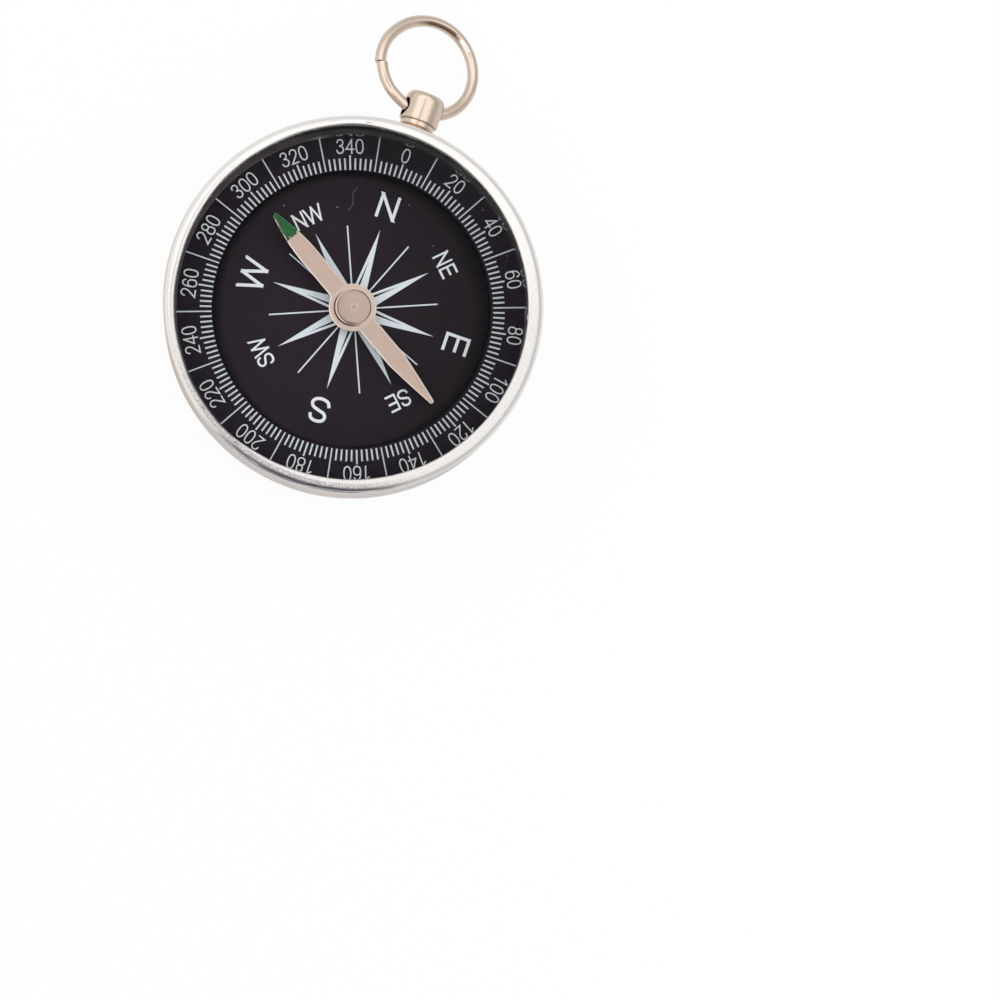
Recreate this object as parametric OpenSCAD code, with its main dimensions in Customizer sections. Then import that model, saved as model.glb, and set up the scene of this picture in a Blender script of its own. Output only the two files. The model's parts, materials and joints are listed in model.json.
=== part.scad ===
// Pocket compass: a round metal case with a pressed-on bezel, a flat crystal, a sunk dial with a
// raised degree ring, a balanced needle on a point, and a swivelling crown that carries a bow ring.
// Millimetres. +Z points up through the crystal, +Y towards the crown and the zero of the scale,
// and the origin is the centre of the flat back.

/* [Case] */
// Diameter of the case at its widest, low on the wall
case_d = 45; // [44:0.5:50]
// Height of the wall from the back to the shoulder that the bezel stands on
case_h = 8.2; // [8:0.1:12]
// How far the wall leans inwards on its way up to the shoulder
case_lean = 0.4; // [0.1:0.05:0.6]
// Thickness of the wall at the shoulder
case_wall = 0.6; // [0.5:0.05:0.8]
// Thickness of the floor
floor_t = 1; // [0.8:0.1:1.2]
// Rounding of the back edge
back_round = 0.8; // [0.3:0.1:1]
// Height of the neck that the bezel is pressed over
neck_h = 1.9; // [1.7:0.1:2.5]
// Thickness of the neck
neck_wall = 0.3; // [0.25:0.05:0.4]

/* [Bezel] */
// Thickness of the lip over the crystal
lip_t = 0.7; // [0.5:0.1:1]
// How far the lip reaches in from the bore of the case
lip_reach = 1; // [0.6:0.1:1.4]
// Rounding of the outer top edge
bezel_round = 0.8; // [0.3:0.1:1]
// Rounding of the inner edge of the lip
lip_round = 0.15; // [0.05:0.05:0.25]
// Height of the seam that shows between the bezel and the case
seam = 0.12; // [0.05:0.01:0.3]

/* [Crystal] */
// Thickness of the crystal
crystal_t = 1; // [0.8:0.1:1.2]
// Thickness of the seal under the crystal
seal_t = 0.3; // [0.2:0.05:0.5]
// Width of the seal
seal_w = 0.45; // [0.42:0.01:0.6]

/* [Dial] */
// Height of the carrier that stands on the floor and holds up the dial plate
carrier_h = 2; // [1.8:0.1:2.3]
// Width of the carrier's rim
carrier_rim = 2; // [1:0.1:4]
// Diameter of the carrier's hub
carrier_hub_d = 7; // [5:0.5:10]
// Width of each of the carrier's spokes
spoke_w = 2.4; // [1:0.1:4]
// Number of spokes
spokes = 4; // [3:1:6]
// Thickness of the dial plate
dial_t = 0.8; // [0.6:0.1:1]
// Height of the degree ring above the dial plate
ring_t = 1; // [0.6:0.1:1.3]
// Width of the degree ring
ring_w = 4.9; // [4.7:0.1:5.4]
// Rounding of the degree ring's inner edge
ring_round = 0.2; // [0.05:0.05:0.4]
// Thickness of the glossy wall between the degree ring and the crystal
wall_t = 0.4; // [0.3:0.05:0.5]

/* [Scale and rose] */
// Thickness of the printed ink
print_t = 0.03; // [0.02:0.01:0.06]
// Degrees between two lines of the scale
scale_step = 2; // [1:1:5]
// Degrees between two numbered lines, halfway between which stands a long line
number_step = 20; // [10:10:30]
// Distance from the ring's inner edge to the lines
scale_inset = 0.18; // [0.1:0.01:0.4]
// How far the printed scale stands off the ring's middle, towards the right of zero
scale_off = 0.16; // [0:0.01:0.2]
// Length of a short line
short_l = 1.38; // [0.8:0.01:1.6]
// Length of the line at a number
medium_l = 1.72; // [1:0.01:2]
// Length of a long line between two numbers
long_l = 4.1; // [2:0.1:4.2]
// Width of the short lines
short_w = 0.2; // [0.1:0.01:0.3]
// Width of the long lines
long_w = 0.16; // [0.1:0.01:0.3]
// Radius of the rose's points
rose_r = 10.1; // [6:0.1:12]
// Width that each point would have at the middle of the dial
point_w = 2.1; // [1.6:0.05:2.1]
// Width of the rose's thin lines
ray_w = 0.17; // [0.1:0.01:0.3]
// Radius inside which the rose is left off, under the needle's hub
rose_in = 2.25; // [2.25:0.05:2.6]
// How far the printed rose stands off the pivot, towards the right of zero
rose_off = 0.13; // [0:0.01:0.2]
// Turn of the printed rose against the scale, anticlockwise
rose_turn = 0.35; // [0:0.05:1]

/* [Pivot] */
// How far the pivot stands off the case's middle, towards the crown
pivot_north = 0.15; // [0:0.01:0.2]
// Diameter of the steel pin that the needle turns on
pin_d = 0.9; // [0.7:0.05:1]
// Length of the pin's point
pin_point = 0.7; // [0.5:0.05:0.9]
// Diameter of the pin's blunt tip
pin_tip_d = 0.08; // [0.04:0.01:0.1]
// Diameter of the brass bush that holds the pin
bush_d = 2.4; // [1.8:0.1:2.8]
// Depth of the bush below the dial plate
bush_sink = 1.2; // [0.6:0.1:1.6]
// Diameter of the bush's flange
flange_d = 3.4; // [3:0.1:4]
// Thickness of the bush's flange
flange_t = 0.3; // [0.2:0.05:0.4]

/* [Needle] */
// Length of the needle from tip to tip
needle_l = 29.28; // [26:0.02:32]
// Width of the needle
needle_w = 2.25; // [1.6:0.05:2.4]
// Thickness of the needle
needle_t = 0.4; // [0.3:0.05:0.5]
// Height of the needle's underside above the dial plate
needle_rise = 1.1; // [1:0.05:1.4]
// Distance from the middle at which the needle starts to taper
taper_from = 8; // [6:0.1:10]
// Width of the north tip
north_tip_w = 0.6; // [0.1:0.02:0.8]
// Width of the south tip
south_tip_w = 0.54; // [0.1:0.02:0.8]
// Fullness of the taper towards the north tip, where 1 is straight
north_taper = 1.9; // [1:0.05:2.5]
// Fullness of the taper towards the south tip
south_taper = 1.15; // [1:0.05:2.5]
// Diameter of the disc punched in the middle of the needle
hub_d = 5.66; // [5:0.02:7]
// How much the south arm is longer than half of the needle, to balance the painted tip
arm_shift = 0.18; // [0:0.01:0.4]
// Rounding in the corners between the disc and the needle's sides
hub_fillet = 0.6; // [0.3:0.05:1]
// Distance from the pivot at which the coloured north tip starts
paint_from = 10.9; // [9:0.1:12]
// Diameter of the cap riveted through the needle
cap_d = 4.5; // [4:0.1:5]
// Height of the cap above the needle
cap_h = 0.52; // [0.4:0.02:0.8]
// Bevel round the cap's top
cap_bevel = 0.24; // [0.1:0.02:0.3]
// Diameter of the cap's neck in the needle's hole
neck_d = 3; // [2.6:0.1:3.2]
// How far the neck is spread below the needle
spread = 0.3; // [0.15:0.05:0.4]
// Thickness of the spread end
spread_t = 0.25; // [0.15:0.05:0.3]
// Diameter of the jewel
jewel_d = 1.7; // [1.4:0.05:2]
// Height of the jewel
jewel_h = 0.75; // [0.6:0.05:0.85]
// Diameter of the cup's mouth in the jewel
cup_d = 1.24; // [1:0.02:1.3]
// Diameter at the top of the cup
cup_top_d = 0.14; // [0.1:0.02:0.2]
// Free height between the pin's tip and the top of the jewel's cup
cup_play = 0.03; // [0.02:0.01:0.05]

/* [Crown] */
// Depth of the crown's line below the shoulder
crown_below = 3; // [2.8:0.1:3.6]
// Diameter of the crown's barrel
crown_d = 4.74; // [4.4:0.02:5.4]
// Length of the barrel
crown_l = 3.7; // [3.4:0.1:4.4]
// Rounding of the barrel's outer end
crown_round = 1; // [0.3:0.1:1.2]
// Rounding of the barrel's inner end
crown_foot_round = 0.2; // [0.1:0.05:0.4]
// Radius of the barrel's slightly domed end
dome_r = 9; // [6:0.5:20]
// Diameter of the stem that turns in the collar
stem_d = 1.8; // [1.4:0.1:2]
// Spread of the stem's riveted end, on the radius
rivet_spread = 0.35; // [0.2:0.05:0.4]
// Length of the cone of the riveted end
rivet_l = 0.35; // [0.2:0.05:0.4]
// Diameter of the hole across the barrel
hole_d = 2.2; // [2.15:0.05:2.4]
// Distance of that hole from the barrel's inner end
hole_up = 1.4; // [1.35:0.05:1.6]
// Countersink of the hole's mouths
hole_bevel = 0.2; // [0.1:0.05:0.25]
// Diameter of the collar's flange on the case
collar_d = 4.9; // [4.6:0.1:5.4]
// Depth of the spot face in the wall that the collar sits in
collar_sink = 0.25; // [0.15:0.05:0.3]
// Length of the flange
collar_flange_l = 0.6; // [0.5:0.05:1]
// Length of the cone between the flange and the waist
collar_cone_l = 0.45; // [0.3:0.05:0.6]
// Diameter of the waist between the flange and the crown
waist_d = 4.1; // [3.4:0.1:4.4]
// Length of the waist
waist_l = 0.5; // [0.4:0.02:0.8]

/* [Bow ring] */
// Diameter of the ring along the middle of its wire
bow_d = 12.12; // [10.5:0.02:14]
// Thickness of the wire
wire_d = 1.34; // [1.1:0.02:1.36]
// Gap at the ring's butt joint
bow_gap = 0.06; // [0.04:0.02:0.2]
// Place of the butt joint round the ring, from the crown's right
bow_gap_at = 197; // [120:1:240]
// How far the ring has slid to the left in its hole
bow_slide = 0.6; // [0:0.05:0.6]

/* [Pose at rest] */
// Bearing of the north tip on the dial, clockwise from zero
needle_bearing = 301.2; // [0:0.1:360]
// Turn of the dial against the crown, anticlockwise
dial_turn = 0.6; // [-5:0.1:5]
// Turn of the crown about its own line
crown_turn = 18; // [-30:1:30]
// Drop of the bow ring from the crown's line
bow_drop = 12.5; // [0:0.5:20]

/* [Hidden] */
$fn = 96;
// Gap between pieces pressed or dropped into one another
fit_gap = 0.02;
// Running clearance, on the radius, where one piece turns in another
run_gap = 0.04;
// Overrun of cuts past the faces that they open
over = 0.5;
// Radii and heights of the case
case_r = case_d / 2;
shoulder_r = case_r - case_lean;
bore_r = shoulder_r - case_wall;
neck_r = bore_r + neck_wall;
neck_top = case_h + neck_h;
inner_r = bore_r - fit_gap;
opening_r = bore_r - lip_reach;
bezel_top = neck_top + lip_t;
crown_z = case_h - crown_below;
// Radius of the leaning wall at the height of the crown
wall_at_crown = case_r - case_lean * (crown_z - back_round) / (case_h - back_round);
// Heights of the pieces stacked inside, from the floor up
dial_z = floor_t + carrier_h;
dial_top = dial_z + dial_t;
ring_top = dial_top + ring_t;
seal_z = neck_top - crystal_t - seal_t;
crystal_z = neck_top - crystal_t;
ring_in = inner_r - ring_w;
// Heights of the pivot and the needle
bush_z = dial_z - bush_sink;
blade_z = dial_top + needle_rise;
blade_top = blade_z + needle_t;
cap_top = blade_top + cap_h;
cap_z = blade_z - spread_t;
jewel_top = blade_top + cap_h / 2 - cap_bevel / 4;
jewel_z = jewel_top - jewel_h;
cup_top = jewel_top - (cap_top - jewel_top) / 2;
pin_top = cup_top - cup_play;
// Steps along the needle's taper
taper_steps = 8;
// Steps round each of the needle's inner corners and tips, and round a quarter of its disc
corner_steps = 6;
hub_steps = 9;
// Slit in each point of the rose, as shares of the point's half width and of its length
slit_apex_share = [-0.086, 0.604];
slit_left_share = -0.743;
slit_right_share = -0.248;
// Thin rays stand halfway between the rose's points
rose_points = 8;
// Places along the crown's line
collar_y = wall_at_crown - collar_sink;
waist_y = collar_y + collar_flange_l + collar_cone_l;
crown_y = waist_y + waist_l + run_gap;
hole_y = crown_y + hole_up;
rivet_y = bore_r + run_gap;
// The stem grows out of the barrel's floor, which is as thick as the cross hole leaves it
stem_root = (hole_up - hole_d / 2) / 2;
// The wire curves inside its hole, so the ring sits half of that curve nearer to the crown
bow_r = bow_d / 2;
bow_set = pow(crown_d / 2 + bow_slide, 2) / (4 * bow_r);

// Ring section from radius a to b and height z0 to z1, spun about Z
module ring(a, b, z0, z1) {
    rotate_extrude()
        translate([a, z0])
            square([b - a, z1 - z0]);
}

// Half section of a disc, with its upper outer edge rounded by f
module rounded_section(r, h, f) {
    square([r - f, h]);
    square([r, h - f]);
    translate([r - f, h - f])
        circle(f);
}

// Places children on the crown's line, with their Z along it
module along_crown(y) {
    translate([0, y, crown_z])
        rotate([-90, 0, 0])
            children();
}

// Turns children, drawn along the row's axes, with the crown
module with_crown() {
    translate([0, hole_y, crown_z])
        rotate([0, crown_turn, 0])
            children();
}

// Points of an arc about a centre, from one angle to another, both ends included
function arc_points(centre, r, from, to, steps) = [
    for (i = [0:steps])
        let (turn = from + (to - from) * i / steps)
            centre + r * [cos(turn), sin(turn)]
];

// Points of one side of an arm's taper, out to the start of its rounded tip
function taper_points(arm, tip_w, taper) = [
    for (i = [0:taper_steps - 1])
        let (t = i / taper_steps)
            [tip_w / 2 + (needle_w - tip_w) / 2 * (1 - pow(t, taper)),
             taper_from + (arm - tip_w / 2 - taper_from) * t]
];

// Right side of one arm, drawn upwards: from the disc's side round the disc, round the inner
// corner, and along the taper to the middle of the tip
function arm_points(arm, tip_w, taper) =
    let (reach = hub_d / 2 + hub_fillet,
         side = needle_w / 2 + hub_fillet,
         along = sqrt(reach * reach - side * side),
         lean = atan2(along, side))
    concat(arc_points([0, 0], hub_d / 2, 0, lean, hub_steps),
           arc_points([side, along], hub_fillet, 180 + lean * (1 - 1 / corner_steps), 180,
                      corner_steps - 1),
           taper_points(arm, tip_w, taper),
           arc_points([0, arm - tip_w / 2], tip_w / 2, 0, 90, corner_steps));

// The same points the other way round, without the two that its neighbours already have
function inner_reversed(points) = [for (i = [len(points) - 2:-1:1]) points[i]];

function flipped(points, x, y) = [for (p = points) [x * p[0], y * p[1]]];

module needle_outline() {
    north = arm_points(needle_l / 2 - arm_shift, north_tip_w, north_taper);
    south = arm_points(needle_l / 2 + arm_shift, south_tip_w, south_taper);
    polygon(concat(north,
                   flipped(inner_reversed(north), -1, 1),
                   flipped(south, -1, -1),
                   flipped(inner_reversed(south), 1, -1)));
}

// Places children on the pivot
module at_pivot() {
    translate([0, pivot_north, 0])
        children();
}

// Places children on the pivot, turned with the needle
module needle_turn() {
    at_pivot()
        rotate(dial_turn - needle_bearing)
            children();
}

module case_cup() {
    color("gainsboro")
        difference() {
            rotate_extrude()
                difference() {
                    union() {
                        polygon([[0, 0], [case_r - back_round, 0], [case_r - back_round, back_round],
                                 [case_r, back_round], [shoulder_r, case_h], [0, case_h]]);
                        translate([case_r - back_round, back_round])
                            circle(back_round);
                        square([neck_r, neck_top]);
                    }
                    translate([0, floor_t])
                        square([bore_r, neck_top]);
                }
            along_crown(0)
                cylinder(r = stem_d / 2 + run_gap, h = case_d);
            along_crown(rivet_y)
                cylinder(r1 = stem_d / 2 + rivet_spread + run_gap, r2 = stem_d / 2 + run_gap, h = rivet_l);
            along_crown(rivet_y - over)
                cylinder(r = stem_d / 2 + rivet_spread + run_gap, h = over);
            along_crown(collar_y)
                cylinder(r = collar_d / 2 + fit_gap, h = case_r);
        }
}

module bezel() {
    color("silver")
        rotate_extrude()
            difference() {
                translate([0, case_h + seam])
                    rounded_section(shoulder_r, bezel_top - case_h - seam, bezel_round);
                square([neck_r + fit_gap, neck_top]);
                difference() {
                    square([opening_r + lip_round, bezel_top + over]);
                    translate([opening_r + lip_round, bezel_top - lip_round])
                        circle(lip_round);
                    translate([opening_r, 0])
                        square([lip_round, bezel_top - lip_round]);
                }
            }
}

module crystal() {
    color("lightcyan", 0.35)
        translate([0, 0, crystal_z])
            cylinder(r = inner_r, h = crystal_t);
}

module crystal_seal() {
    color("black")
        ring(inner_r - seal_w, inner_r, seal_z, crystal_z);
}

module dial_wall() {
    color("black")
        ring(inner_r - wall_t, inner_r, ring_top, seal_z);
}

module degree_ring() {
    color("black")
        rotate_extrude()
            difference() {
                translate([ring_in, dial_top])
                    square([ring_w, ring_t]);
                translate([ring_in, ring_top - ring_round])
                    difference() {
                        square(ring_round);
                        translate([ring_round, 0])
                            circle(ring_round);
                    }
            }
}

module degree_scale() {
    color("white")
        translate([scale_off, 0, ring_top])
            linear_extrude(print_t)
                for (a = [0:scale_step:360 - scale_step])
                    let (is_long = (a + number_step / 2) % number_step == 0,
                         length = is_long ? long_l : a % number_step == 0 ? medium_l : short_l,
                         width = is_long ? long_w : short_w)
                        rotate(dial_turn - a)
                            translate([-width / 2, ring_in + scale_inset])
                                square([width, length]);
}

module dial_plate() {
    color("black")
        translate([0, 0, dial_z])
            difference() {
                cylinder(r = inner_r, h = dial_t);
                translate([0, pivot_north, -over])
                    cylinder(r = bush_d / 2 + fit_gap, h = dial_t + 2 * over);
            }
}

module rose_point() {
    half = point_w / 2;
    difference() {
        polygon([[-half, 0], [half, 0], [0, rose_r]]);
        polygon([[slit_left_share * half, 0], [slit_right_share * half, 0],
                 [slit_apex_share[0] * half, slit_apex_share[1] * rose_r]]);
    }
}

module compass_rose() {
    color("white")
        translate([rose_off, pivot_north, dial_top])
            rotate(dial_turn + rose_turn)
                linear_extrude(print_t)
                    difference() {
                        for (i = [0:rose_points - 1])
                            rotate(-i * 360 / rose_points) {
                                rose_point();
                                rotate(-180 / rose_points)
                                    translate([-ray_w / 2, 0])
                                        square([ray_w, rose_r]);
                            }
                        circle(rose_in);
                    }
}

module dial_carrier() {
    color("dimgray")
        translate([0, 0, floor_t])
            difference() {
                union() {
                    ring(inner_r - carrier_rim, inner_r, 0, carrier_h);
                    at_pivot()
                        cylinder(d = carrier_hub_d, h = carrier_h);
                    for (i = [0:spokes - 1])
                        rotate(i * 360 / spokes)
                            translate([0, -spoke_w / 2, 0])
                                cube([inner_r - carrier_rim / 2, spoke_w, carrier_h]);
                }
                translate([0, pivot_north, carrier_h - bush_sink])
                    cylinder(r = bush_d / 2 + fit_gap, h = bush_sink + over);
            }
}

module pivot_bush() {
    color("goldenrod")
        at_pivot()
            difference() {
                union() {
                    translate([0, 0, bush_z])
                        cylinder(d = bush_d, h = dial_top - bush_z);
                    translate([0, 0, dial_top])
                        cylinder(d = flange_d, h = flange_t);
                }
                translate([0, 0, bush_z - over])
                    cylinder(r = pin_d / 2 + fit_gap, h = dial_top - bush_z + flange_t + 2 * over);
            }
}

module pivot_pin() {
    color("lightsteelblue")
        at_pivot() {
            translate([0, 0, bush_z])
                cylinder(d = pin_d, h = pin_top - pin_point - bush_z);
            translate([0, 0, pin_top - pin_point])
                cylinder(d1 = pin_d, d2 = pin_tip_d, h = pin_point);
        }
}

module needle_blade() {
    color("rosybrown")
        needle_turn()
            translate([0, 0, blade_z])
                difference() {
                    linear_extrude(needle_t)
                        needle_outline();
                    translate([0, 0, -over])
                        cylinder(r = neck_d / 2 + fit_gap, h = needle_t + 2 * over);
                }
}

module needle_paint() {
    color("darkgreen")
        needle_turn()
            translate([0, 0, blade_top])
                linear_extrude(print_t)
                    intersection() {
                        needle_outline();
                        translate([-needle_w, paint_from])
                            square([2 * needle_w, needle_l]);
                    }
}

module needle_cap() {
    color("tan")
        at_pivot()
            difference() {
                union() {
                    translate([0, 0, cap_z])
                        cylinder(r = neck_d / 2 + spread, h = spread_t);
                    translate([0, 0, cap_z])
                        cylinder(d = neck_d, h = blade_top - cap_z);
                    translate([0, 0, blade_top])
                        cylinder(d = cap_d, h = cap_h - cap_bevel);
                    translate([0, 0, cap_top - cap_bevel])
                        cylinder(r1 = cap_d / 2, r2 = cap_d / 2 - cap_bevel, h = cap_bevel);
                }
                translate([0, 0, cap_z - over])
                    cylinder(r = jewel_d / 2 + fit_gap, h = jewel_top - cap_z + over);
                // Centre mark left by the lathe
                translate([0, 0, cap_top - cap_bevel / 2])
                    cylinder(d1 = 0, d2 = cap_bevel, h = cap_bevel / 2);
            }
}

module needle_jewel() {
    color("mistyrose")
        at_pivot()
            difference() {
                translate([0, 0, jewel_z])
                    cylinder(d = jewel_d, h = jewel_h);
                translate([0, 0, jewel_z])
                    cylinder(d1 = cup_d, d2 = cup_top_d, h = cup_top - jewel_z);
            }
}

module pendant_collar() {
    color("silver")
        difference() {
            union() {
                along_crown(collar_y)
                    cylinder(d = collar_d, h = collar_flange_l);
                along_crown(collar_y + collar_flange_l)
                    cylinder(d1 = collar_d, d2 = waist_d, h = collar_cone_l);
                along_crown(waist_y)
                    cylinder(d = waist_d, h = waist_l);
            }
            along_crown(collar_y - over)
                cylinder(r = stem_d / 2 + run_gap, h = waist_y + waist_l - collar_y + 2 * over);
        }
}

module crown() {
    color("silver")
        difference() {
            union() {
                along_crown(crown_y)
                    rotate_extrude()
                        intersection() {
                            difference() {
                                rounded_section(crown_d / 2, crown_l, crown_round);
                                translate([crown_d / 2 - crown_foot_round, 0])
                                    difference() {
                                        square(crown_foot_round);
                                        translate([0, crown_foot_round])
                                            circle(crown_foot_round);
                                    }
                            }
                            translate([0, crown_l - dome_r])
                                circle(dome_r);
                        }
                along_crown(rivet_y)
                    cylinder(d = stem_d, h = crown_y - rivet_y + stem_root);
                along_crown(rivet_y)
                    cylinder(r1 = stem_d / 2 + rivet_spread, r2 = stem_d / 2, h = rivet_l);
            }
            with_crown()
                rotate([0, 90, 0])
                    cylinder(d = hole_d, h = 2 * crown_d, center = true);
            // The cone's narrow end lies one bevel inside the barrel's side
            with_crown()
                for (turn = [90, -90])
                    rotate([0, turn, 0])
                        translate([0, 0, crown_d / 2 - hole_bevel])
                            cylinder(r1 = hole_d / 2, r2 = hole_d / 2 + hole_bevel + over,
                                     h = hole_bevel + over);
        }
}

module bow_ring() {
    gap_angle = 2 * asin(bow_gap / bow_d);
    color("silver")
        with_crown()
            rotate([-bow_drop, 0, 0])
                translate([-bow_slide, bow_r - bow_set, 0])
                    rotate(bow_gap_at + gap_angle / 2)
                        rotate_extrude(angle = 360 - gap_angle)
                            translate([bow_r, 0])
                                circle(wire_d / 2);
}

case_cup();
bezel();
crystal();
crystal_seal();
dial_wall();
degree_ring();
degree_scale();
dial_plate();
compass_rose();
dial_carrier();
pivot_bush();
pivot_pin();
needle_blade();
needle_paint();
needle_cap();
needle_jewel();
pendant_collar();
crown();
bow_ring();
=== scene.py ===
"""Pocket compass: turned metal, printed dial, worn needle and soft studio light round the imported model."""
import json
import math

import bpy
from bpy.props import FloatProperty, FloatVectorProperty, PointerProperty
from bpy.types import Operator, Panel, PropertyGroup
from mathutils import Matrix, Vector

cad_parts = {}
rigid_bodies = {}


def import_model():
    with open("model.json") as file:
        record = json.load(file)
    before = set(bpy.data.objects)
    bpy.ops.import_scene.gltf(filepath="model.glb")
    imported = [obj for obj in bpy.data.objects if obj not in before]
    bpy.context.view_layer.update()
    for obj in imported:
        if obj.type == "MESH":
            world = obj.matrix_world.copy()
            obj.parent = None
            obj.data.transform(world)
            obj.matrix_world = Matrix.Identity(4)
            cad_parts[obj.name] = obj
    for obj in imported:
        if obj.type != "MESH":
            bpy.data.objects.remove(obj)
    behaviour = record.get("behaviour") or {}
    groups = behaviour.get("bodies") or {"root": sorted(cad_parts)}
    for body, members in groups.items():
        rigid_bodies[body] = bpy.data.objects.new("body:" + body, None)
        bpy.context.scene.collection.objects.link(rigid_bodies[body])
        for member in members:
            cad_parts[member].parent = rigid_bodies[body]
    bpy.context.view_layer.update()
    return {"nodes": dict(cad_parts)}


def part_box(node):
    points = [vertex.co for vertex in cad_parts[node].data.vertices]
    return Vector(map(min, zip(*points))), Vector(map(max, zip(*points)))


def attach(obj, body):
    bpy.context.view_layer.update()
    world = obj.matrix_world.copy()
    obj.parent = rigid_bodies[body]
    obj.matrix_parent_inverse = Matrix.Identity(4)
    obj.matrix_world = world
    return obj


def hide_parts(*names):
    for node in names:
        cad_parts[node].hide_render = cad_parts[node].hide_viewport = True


bl_info = {
    "name": "Pocket Compass",
    "version": (1, 0, 0),
    "blender": (4, 5, 0),
    "location": "View3D > Sidebar > Compass",
    "description": "Finishes a pocket compass: metal, glass, printed dial and needle",
    "category": "Add Mesh",
}

bpy.ops.object.select_all(action="SELECT")
bpy.ops.object.delete()
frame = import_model()

MM = 0.001
MERGE = 1e-7
ROUND_STEPS = 8
# Steps round the bezel, the wide turned pieces, the cap and the collar's rim
BEZEL_STEPS, WIDE_STEPS, CAP_STEPS, RIM_STEPS = 512, 256, 128, 96


def low(node):
    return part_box(node)[0]


def high(node):
    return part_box(node)[1]


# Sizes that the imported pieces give
CASE_R = high("case_cup").x
NECK_TOP = high("case_cup").z
SHOULDER_R = high("bezel").x
SEAM_Z = low("bezel").z
BEZEL_TOP = high("bezel").z
INNER_R = high("crystal").x
CRYSTAL_Z = low("crystal").z
CRYSTAL_TOP = high("crystal").z
DIAL_TOP = high("dial_plate").z
RING_TOP = high("degree_ring").z
PRINT_T = high("degree_scale").z - RING_TOP
BLADE_Z = low("needle_blade").z
BLADE_TOP = high("needle_blade").z
SEAL_Z = low("crystal_seal").z
CAP_R = (high("needle_cap").x - low("needle_cap").x) / 2
CAP_TOP = high("needle_cap").z
PIVOT_Y = (low("needle_cap").y + high("needle_cap").y) / 2
CROWN_Z = (low("crown").z + high("crown").z) / 2
CROWN_R = (high("crown").z - low("crown").z) / 2
HOLE_Y = high("crown").y - 2.3 * MM

# Places on the dial
NUMBER_STEP = 20
DIAL_TURN = 0.6
TIP_R = 0.3 * MM
WELL_R = 16.6 * MM
NUMBER_CENTRE = (0.16 * MM, 0)
LETTER_CENTRE = (0.17 * MM, 0.23 * MM)
NEEDLE_BEARING = math.atan2(low("needle_paint").x + TIP_R, high("needle_paint").y - TIP_R - PIVOT_Y)
NEEDLE_SEAT = {"turn": (0, 0, NEEDLE_BEARING % (2 * math.pi)), "centre": (0, PIVOT_Y, 0)}

# Directions of the picture's right and top on the dial
PICTURE_RIGHT = (0.94, 0.33)
PICTURE_UP = (-0.331, 0.944)


def display(red, green, blue):
    """The linear colour of a colour read on a display, in steps of 255."""
    full = 255
    toe, slope, offset, power = 0.04045, 12.92, 0.055, 2.4
    shares = [value / full for value in (red, green, blue)]
    return tuple(s / slope if s < toe else ((s + offset) / (1 + offset)) ** power for s in shares)


def number(name, description, default, **settings):
    return FloatProperty(name=name, description=description, default=default, **settings)


def length(name, description, size_mm):
    return number(name, description, size_mm * MM, min=0, unit="LENGTH")


def angle(name, description, degrees):
    return number(name, description, math.radians(degrees), subtype="ANGLE")


def vector(name, description, default, **settings):
    return FloatVectorProperty(name=name, description=description, default=default, **settings)


def colour(name, description, *shown):
    return vector(name, description, display(*shown), subtype="COLOR", min=0, max=1)


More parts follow.
